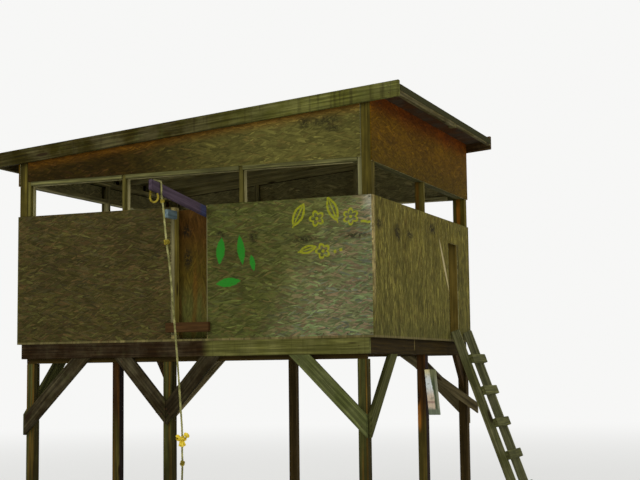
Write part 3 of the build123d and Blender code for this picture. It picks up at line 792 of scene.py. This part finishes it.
def speckled(name, scale, detail, rough, spread, dark, light, roughness, distance, metallic):
    """A finish with fine specks or creases between two colours."""
    finish = Finish(name)
    fleck = finish.noise(finish.place(), scale, detail, rough)
    colour = finish.mix(fleck.ramp(*spread), dark, light)
    return finish.surface(colour, roughness, fleck, distance, metallic=metallic)


STEEL = speckled("rusted_steel", 180.0, 4.0, 0.7, (0.35, 0.7), (44, 32, 24), (96, 62, 38), 0.7, 0.0006, 0.35)
RIBBON = speckled("yellow_ribbon", 70.0, 3.0, 0.6, (0.3, 0.75), (196, 164, 30), (232, 210, 78), 0.55, 0.001, 0.0)
ROPE_FIBRE = rope_fibre("rope_fibre", (164, 160, 104), (84, 84, 44))
KNOT_FIBRE = rope_fibre("knot_fibre", (156, 140, 50), (92, 80, 20))


def dress(node, material):
    """Gives a CAD node's object a finish."""
    shown = node_objects[node]
    for place in shown.material_slots:
        place.material = material
    if not shown.material_slots:
        shown.data.materials.append(material)


def linked(name, data):
    """A new object in the scene."""
    made = bpy.data.objects.new(name, data)
    bpy.context.scene.collection.objects.link(made)
    return made


def finish_mesh(name, bm, material, smooth=True):
    """Makes an object from a bmesh and gives it a finish."""
    bmesh.ops.recalc_face_normals(bm, faces=bm.faces)
    mesh = bpy.data.meshes.new(name)
    bm.to_mesh(mesh)
    bm.free()
    for face in mesh.polygons:
        face.use_smooth = smooth
    mesh.materials.append(material)
    return linked(name, mesh)


def node_mesh(node):
    """A CAD node's mesh to work on, with its faces joined at their corners."""
    bm = bmesh.new()
    bm.from_mesh(node_objects[node].data)
    bmesh.ops.remove_doubles(bm, verts=bm.verts, dist=MERGE_GAP)
    return bm


def bridge(bm, rings, capped=True):
    """Adds the faces between rings of points, and those that close the first and the last ring."""
    count = len(rings[0])
    for one, two in zip(rings, rings[1:]):
        for i in range(count):
            bm.faces.new((one[i], one[(i + 1) % count], two[(i + 1) % count], two[i]))
    if capped:
        bm.faces.new(reversed(rings[0]))
        bm.faces.new(rings[-1])


def islands(bm):
    """The separate boards of a mesh, as lists of vertices, in the order of their first vertices."""
    bm.verts.index_update()
    seen = set()
    for first in bm.verts:
        if first.index in seen:
            continue
        seen.add(first.index)
        found = [first]
        for vert in found:
            for edge in vert.link_edges:
                other = edge.other_vert(vert)
                if other.index not in seen:
                    seen.add(other.index)
                    found.append(other)
        yield found


def middle_of(verts):
    return sum((vert.co for vert in verts), Vector()) / len(verts)


def grain_axes(verts):
    """The directions along a board, across it and through it, from its longest edge."""
    edges = [edge for vert in verts for edge in vert.link_edges]
    longest = max(edges, key=lambda edge: round(edge.calc_length(), 4))
    along = (longest.verts[1].co - longest.verts[0].co).normalized()
    if max(along, key=abs) < 0:
        along = -along
    through = min((Vector(axis) for axis in Matrix.Identity(3)), key=lambda axis: abs(axis.dot(along)))
    through = (through - along * through.dot(along)).normalized()
    return along, along.cross(through), through


def soft_boards(node, material):
    """A copy of a node's boards with worn edges and a grain of its own on each board."""
    bm = node_mesh(node)
    bmesh.ops.dissolve_limit(bm, angle_limit=FLAT_ANGLE, verts=bm.verts, edges=bm.edges)
    sharp = [edge for edge in bm.edges if edge.is_manifold and edge.calc_face_angle() > SHARP_ANGLE]
    bmesh.ops.bevel(bm, geom=sharp, offset=EDGE_WEAR, segments=2, affect="EDGES", clamp_overlap=True)
    board_layer = bm.verts.layers.float_vector.new("board")
    tone_layer = bm.verts.layers.float.new("tone")
    chance = random.Random(node + "0")
    for verts in sorted(islands(bm), key=lambda found: tuple(round(c, 3) for c in middle_of(found))):
        axes = grain_axes(verts)
        shift = Vector((chance.uniform(0, 40), chance.uniform(0, 4), chance.uniform(0, 4)))
        tone = chance.random()
        for vert in verts:
            vert[board_layer] = Vector([vert.co.dot(axis) for axis in axes]) + shift
            vert[tone_layer] = tone
    mesh = bpy.data.meshes.new(node + "_boards")
    bm.to_mesh(mesh)
    bm.free()
    mesh.materials.append(material)
    piece = linked(node + "_boards", mesh)
    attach(piece, "root")
    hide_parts(node)


# Sheets: the finish, the nodes, the places in their plane, whether their strands stand upright, the colour, the
# contrast, the marks, and how raw they are indoors
XY, XZ, YZ = (0, 1), (0, 2), (1, 2)
SHEETS = (
    ("front_board", "front_panel_right front_panel_left", XZ, False, front_base, 1.35, front_marks),
    ("side_board", "right_panel_near right_panel_at_door right_panel_far", YZ, True, side_base, 1.5, side_marks),
    ("back_board", "back_panel", XZ, False, HIDDEN_WALL),
    ("left_board", "left_panel", YZ, True, HIDDEN_WALL),
    ("upper_front_board", "upper_panel_front upper_panel_back", XZ, False, upper_front_base, 1.2, upper_marks),
    ("upper_side_board", "upper_panel_right upper_panel_left", YZ, False, upper_side_base, 1.2),
    ("leaf_board", "front_door", XZ, True, leaf_base, 0.9, leaf_marks, 0.0),
    ("roof_board", "roof_deck", XY, False, soffit_base),
    ("deck_board", "floor_deck", XY, False, (92, 84, 50)),
)

# Boards: the finish, the slot, the nodes, the colour, the contrast, and what grows, runs or shows on them
WEATHERED, POST, FRAMING = "weathered_lumber", "post_wood", "framing_lumber"
MOSSY, DARK, PAINTED = "mossy_lumber", "dark_lumber", "painted_lumber"
BOARDS = (
    ("rim_lumber", WEATHERED, "rim_front", rim_base, 0.9, {"green": 0.12, "grey": 0.1, "drips": 0.35}),
    ("back_rim_lumber", WEATHERED, "rim_back", (66, 62, 32), 0.9, {"green": 0.3, "grey": 0.3}),
    ("dark_lumber", DARK, "rim_right rim_left floor_beams floor_joists", dark_base, 0.7, {}),
    ("brace_lumber", WEATHERED, "knee_braces_front", front_brace_base, 0.9, {"green": 0.2, "grey": 0.15}),
    ("stay_lumber", WEATHERED, "knee_braces_back", (100, 90, 62), 1.0, {}),
    ("side_brace_lumber", WEATHERED, "knee_braces_side", side_brace_base, 0.9, {"green": 0.2}),
    ("post_lumber", POST, "front_posts", post_base, 1.1, {"green": 0.15}),
    ("side_post_lumber", POST, "side_posts", side_post_base, 0.8, {}),
    ("back_post_lumber", POST, "back_posts", (58, 46, 22), 0.8, {}),
    ("corner_lumber", POST, "corner_posts", corner_post_base, 1.2, {"drips": 0.3, "framing": True}),
    ("framing_lumber", FRAMING, "wall_plates", (128, 116, 70), 0.9, {}),
    ("stud_lumber", FRAMING, "wall_studs", wall_stud_base, 0.8, {}),
    ("window_lumber", FRAMING, "window_studs", window_stud_base, 0.8, {"framing": True}),
    ("header_lumber", FRAMING, "upper_plates", (82, 80, 46), 1.1, {"framing": True}),
    ("rafter_lumber", FRAMING, "rafters", (62, 46, 22), 0.8, {"framing": True}),
    ("rake_lumber", WEATHERED, "rake_boards", rake_base, 0.9, {"green": 0.2, "grey": 0.14, "drips": 0.55}),
    ("eave_lumber", WEATHERED, "eave_boards", (70, 62, 30), 0.9, {"grey": 0.3}),
    ("ladder_lumber", MOSSY, "ladder_rails", ladder_base, 0.9, {"green": 0.10, "grey": 0.3}),
    ("rung_lumber", MOSSY, "ladder_rungs", (76, 76, 42), 0.9, {"green": 0.12}),
    ("kick_lumber", DARK, "kick_board", (62, 42, 19), 0.9, {}),
    ("violet_lumber", PAINTED, "rope_outrigger", outrigger_base, 0.7, {"knots": 0.2}),
    ("plaque_lumber", "grey_board", "post_plaque", plaque_base, 0.35, {"knots": 0.0}),
    ("stub_lumber", PAINTED, "door_stub", (90, 106, 108), 0.7, {"knots": 0.0}),
    ("block_lumber", WEATHERED, "eave_block", (84, 78, 44), 0.8, {}),
)

for finish_name, nodes, *look in SHEETS:
    board = strand_board(finish_name, *look)
    for node in nodes.split():
        dress(node, board)
for finish_name, slot_name, nodes, base, contrast, growth in BOARDS:
    wood = lumber(finish_name, base, contrast, **growth)
    for node in nodes.split():
        soft_boards(node, wood)
dress("roofing", roofing_felt())
dress("hinge_plates", STEEL)
dress("hinge_straps", STEEL)


# Nails

def nail_head(bm, place, outward):
    """Adds a low round nail head that faces outward."""
    side = outward.orthogonal().normalized()
    other = outward.cross(side)
    rings = []
    for share, rise in ((1.0, NAIL_SINK), (0.85, NAIL_RISE * 0.8)):
        ring = []
        for i in range(NAIL_SIDES):
            angle = 2 * pi * i / NAIL_SIDES
            reach = (side * cos(angle) + other * sin(angle)) * NAIL_RADIUS * share
            ring.append(bm.verts.new(place + reach + outward * rise))
        rings.append(ring)
    bridge(bm, rings, capped=False)
    top = bm.verts.new(place + outward * NAIL_RISE)
    for i in range(NAIL_SIDES):
        bm.faces.new((rings[1][i], rings[1][(i + 1) % NAIL_SIDES], top))


def seated_nails(node, outward, spots):
    """Nail heads on a node's outer face, each where a ray from outside meets the wood."""
    bm = bmesh.new()
    bm.from_mesh(node_objects[node].data)
    surface = BVHTree.FromBMesh(bm)
    bm.clear()
    for spot in spots:
        hit, normal = surface.ray_cast(Vector(spot) + outward * RAY_START, -outward)[:2]
        if hit is not None and normal.dot(outward) > SQUARE_ON:
            nail_head(bm, hit, outward)
    piece = finish_mesh(node + "_nails", bm, STEEL)
    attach(piece, "root")


def edge_places(low, high):
    """Places along a sheet's edge, a nail step apart at most."""
    count = max(2, ceil((high - low) / NAIL_STEP) + 1)
    return [low + (high - low) * i / (count - 1) for i in range(count)]


def sheet_spots(node, across):
    """Places round the edges of a wall sheet; across is the axis that the wall runs along."""
    low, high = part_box(node)
    start, end = low[across] + NAIL_INSET, high[across] - NAIL_INSET
    foot, head = low.z + NAIL_INSET, high.z - NAIL_INSET
    spots = [(a, z) for a in edge_places(start, end) for z in (foot, head)]
    spots += [(a, z) for a in (start, end) for z in edge_places(foot, head)]
    middle = (low + high) / 2
    return [Vector((a, middle.y, z)) if across == 0 else Vector((middle.x, a, z)) for a, z in spots]


def board_spots(node):
    """Two places near each end of each board of a node."""
    bm = node_mesh(node)
    spots = []
    for verts in islands(bm):
        along, across, _ = grain_axes(verts)
        middle = middle_of(verts)
        half = max(abs((vert.co - middle).dot(along)) for vert in verts) - NAIL_END
        wide = max(abs((vert.co - middle).dot(across)) for vert in verts) * NAIL_SPREAD
        spots += [middle + along * half * a + across * wide * b for a in (-1, 1) for b in (-1, 1)]
    bm.free()
    return spots


# Each wall: the way that it faces, its nailed sheets and its nailed boards
FRONT_BOARDS = "knee_braces_front rim_front rake_boards kick_board ladder_rungs"
RIGHT_SHEETS = "right_panel_near right_panel_at_door right_panel_far upper_panel_right"
WALLS = (
    ((0, -1, 0), "front_panel_right front_panel_left upper_panel_front", FRONT_BOARDS),
    ((1, 0, 0), RIGHT_SHEETS, "knee_braces_side rim_right eave_boards ladder_rails"),
    ((0, 1, 0), "back_panel upper_panel_back", "rim_back knee_braces_back"),
    ((-1, 0, 0), "left_panel upper_panel_left", ""),
)

for way, sheets, boards in WALLS:
    outward = Vector(way)
    for node in sheets.split():
        seated_nails(node, outward, sheet_spots(node, abs(way[0])))
    for node in boards.split():
        seated_nails(node, outward, board_spots(node))


# Rope

def smooth_line(name, start, offsets):
    """Points along a smooth curve whose control points are given, measured from a start."""
    curve = bpy.data.curves.new(name, "CURVE")
    curve.dimensions = "3D"
    curve.resolution_u = CURVE_STEPS
    spline = curve.splines.new("NURBS")
    spline.points.add(len(offsets) - 1)
    for point, offset in zip(spline.points, offsets):
        point.co = (*(start + Vector(offset)), 1.0)
    spline.order_u = 3
    spline.use_endpoint_u = True
    holder = linked(name, curve)
    bpy.context.view_layer.update()
    mesh = bpy.data.meshes.new_from_object(holder)
    line = [vert.co.copy() for vert in mesh.vertices]
    bpy.data.objects.remove(holder)
    bpy.data.curves.remove(curve)
    bpy.data.meshes.remove(mesh)
    return line


def line_length(line):
    return sum((b - a).length for a, b in zip(line, line[1:]))


def even_steps(line, step):
    """The same line with points that are a step apart."""
    places = [line[0].copy()]
    left = step
    for a, b in zip(line, line[1:]):
        run = (b - a).length
        done = 0.0
        while run - done >= left:
            done += left
            places.append(a.lerp(b, done / run))
            left = step
        left -= run - done
    if (places[-1] - line[-1]).length > step * 0.3:
        places.append(line[-1].copy())
    return places


def frames_along(line):
    """A direction and two across it at each point of a line, without sudden turns."""
    result = []
    side = None
    for i, point in enumerate(line):
        ahead = line[min(i + 1, len(line) - 1)] - line[max(i - 1, 0)]
        ahead.normalize()
        if side is None:
            side = ahead.orthogonal().normalized()
        side = (side - ahead * side.dot(ahead)).normalized()
        result.append((point, side, ahead.cross(side)))
    return result


def tube(bm, line, radius):
    """Adds a round tube along a line, closed at both ends."""
    angles = [2 * pi * i / TUBE_SIDES for i in range(TUBE_SIDES)]
    rings = [
        [bm.verts.new(point + (side * cos(angle) + other * sin(angle)) * radius) for angle in angles]
        for point, side, other in frames_along(line)
    ]
    bridge(bm, rings)


def laid_rope(name, line, material):
    """A rope of twisted strands along a line."""
    steps = even_steps(line, ROPE_STEP)
    bm = bmesh.new()
    for strand in range(STRANDS):
        path = []
        gone = 0.0
        for i, (point, side, other) in enumerate(frames_along(steps)):
            if i:
                gone += (point - steps[i - 1]).length
            angle = 2 * pi * (gone / STRAND_LAY + strand / STRANDS)
            reach = ROPE_RADIUS - STRAND_RADIUS
            path.append(point + (side * cos(angle) + other * sin(angle)) * reach)
        tube(bm, path, STRAND_RADIUS)
    return finish_mesh(name, bm, material)


def knot(name, centre, size, radius, turn):
    """A tied knot: a rope that passes through itself, round the hanging rope."""
    tilt = Matrix.Rotation(radians(turn), 3, "Z") @ Matrix.Rotation(radians(KNOT_LEAN), 3, "X")
    line = []
    for i in range(KNOT_POINTS):
        t = 2 * pi * i / KNOT_POINTS
        ring = 2.0 + cos(3 * t)
        point = Vector((ring * cos(2 * t), ring * sin(2 * t), sin(3 * t) * KNOT_DEPTH)) * size / 3
        line.append(centre + tilt @ point)
    bm = bmesh.new()
    tube(bm, line + [line[0]], radius)
    return finish_mesh(name, bm, KNOT_FIBRE)


rope_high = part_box("rope")[1]
outrigger_low, outrigger_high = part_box("rope_outrigger")
BEAM_CENTRE = Vector((
    (outrigger_low.x + outrigger_high.x) / 2,
    CORNER.y - ROPE_PLACE,
    rope_high.z + SEAT_GAP + TURN_RISE,
))
rope_top = Vector((BEAM_CENTRE.x + ROPE_SIDE, BEAM_CENTRE.y, rope_high.z - ROPE_LIFT))
rope_line = smooth_line("rope_route", rope_top, ROPE_OFFSETS)
turn_line = smooth_line("turn_route", BEAM_CENTRE, TURN_OFFSETS)
tail_line = smooth_line("tail_route", BEAM_CENTRE, TAIL_OFFSETS)
rope_piece = laid_rope("rope_strands", rope_line, ROPE_FIBRE)
rope_turn = laid_rope("rope_turn_strands", turn_line, ROPE_FIBRE)
rope_tail = laid_rope("rope_tail", tail_line, KNOT_FIBRE)


def along_rope(share):
    """The point at a share of the rope's length."""
    target = share * line_length(rope_line)
    for a, b in zip(rope_line, rope_line[1:]):
        run = (b - a).length
        if run >= target:
            return a.lerp(b, target / run)
        target -= run
    return rope_line[-1].copy()


def ribbon(bm, line, width, thickness, facing):
    """Adds a flat ribbon along a line, its width kept across the facing direction."""
    rings = []
    for i, point in enumerate(line):
        ahead = (line[min(i + 1, len(line) - 1)] - line[max(i - 1, 0)]).normalized()
        across = ahead.cross(facing).cross(ahead).normalized()
        out = ahead.cross(across)
        corners = [point + across * a * width / 2 + out * b * thickness / 2 for a, b in SQUARE]
        rings.append([bm.verts.new(corner) for corner in corners])
    bridge(bm, rings)


def ribbon_bow():
    """A yellow ribbon tied in a bow round the rope: two loops, three ends, and a band and a tie about its middle."""
    centre = along_rope(BOW_PLACE)
    bm = bmesh.new()
    for route, width, facing in BOW_RIBBONS:
        line = smooth_line("ribbon", centre, [Vector(place) / 1000 for place in route])
        ribbon(bm, line, width / 1000, BOW_THICKNESS, Vector(facing))
    for lift, tilt in BAND_TURNS:
        band = []
        for k in range(BAND_POINTS + 1):
            t = 2 * pi * k / BAND_POINTS
            around = Vector((cos(t), sin(t), 0)) * BAND_RADIUS
            band.append(centre + around + Vector((0, 0, lift + cos(t) * tilt)))
        ribbon(bm, band, BAND_WIDTH, BAND_THICKNESS, Vector((0, 0, 1)))
    return finish_mesh("ribbon_bow", bm, RIBBON)


rope_knots = [knot(name, along_rope(share), *shape) for name, share, *shape in KNOTS] + [ribbon_bow()]

for piece in (rope_piece, rope_turn, rope_tail, *rope_knots):
    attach(piece, "root")
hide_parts("rope")
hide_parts("rope_turn")
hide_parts("rope_knots")
for piece, line, far_end, carried in (
    (rope_piece, rope_line, "knot", rope_knots),
    (rope_tail, tail_line, "bare", []),
):
    tuple(line[0])
    line_length(line)
    [tuple(point) for point in line]
    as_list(carried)


# Studio: floor, light and camera

def studio_floor():
    """A pale floor that keeps the shadow near the object and fades into the backdrop's white far away."""
    finish = Finish("studio_floor")
    x, y, _ = finish.split(finish.node("TexCoord", output="Object"))
    far = (x * x + y * y).root().ramp(*FLOOR_FADE)
    camera_ray = finish.node("LightPath", output="Is Camera Ray")
    lit = finish.node("BsdfDiffuse", None, {"Color": FLOOR_TONE})
    white = finish.node("Emission", None, {"Color": SKY_TONE, "Strength": SKY_WHITE})
    share = camera_ray * (FLOOR_WHITE + far * (1.0 - FLOOR_WHITE))
    return finish.finished(finish.node("MixShader", None, {0: share, 1: lit, 2: white}))


def studio_sky():
    """A pale sky that lights the object less than it shows."""
    sky = Finish("studio_sky", bpy.data.worlds)
    camera_ray = sky.node("LightPath", output="Is Camera Ray")
    lit = sky.node("Background", None, {"Color": SKY_TONE, "Strength": SKY_LIGHT})
    seen = sky.node("Background", None, {"Color": SKY_TONE, "Strength": SKY_WHITE})
    shown = sky.node("MixShader", None, {0: camera_ray, 1: lit, 2: seen})
    return sky.finished(shown, "OutputWorld")


def studio():
    """The floor, the sky and the lamps."""
    scene = bpy.context.scene
    scene.view_settings.view_transform = "Standard"
    scene.world = studio_sky()
    bm = bmesh.new()
    bm.faces.new([bm.verts.new((x * FLOOR_HALF, y * FLOOR_HALF, 0)) for x, y in SQUARE])
    finish_mesh("studio_floor", bm, studio_floor(), smooth=False)
    for name, place, power in LAMPS:
        light = bpy.data.lights.new(name, "AREA")
        light.size = LAMP_SIZE
        light.energy = power
        lamp = linked(name, light)
        lamp.location = place
        lamp.rotation_euler = (LAMP_AIM - Vector(place)).to_track_quat("-Z", "Y").to_euler()


def camera():
    """The camera, at the photograph's place and angle."""
    lens = bpy.data.cameras.new("view")
    lens.lens = LENS
    lens.sensor_width = SENSOR
    lens.clip_end = FAR_CLIP
    holder = linked("view", lens)
    turn = Matrix.Rotation(radians(LOOK_TURN), 4, "Z")
    tip = Matrix.Rotation(radians(90 + LOOK_UP), 4, "X")
    roll = Matrix.Rotation(radians(LOOK_ROLL), 4, "Z")
    holder.matrix_world = Matrix.Translation(EYE) @ turn @ tip @ roll
    bpy.context.scene.camera = holder


studio()
camera()
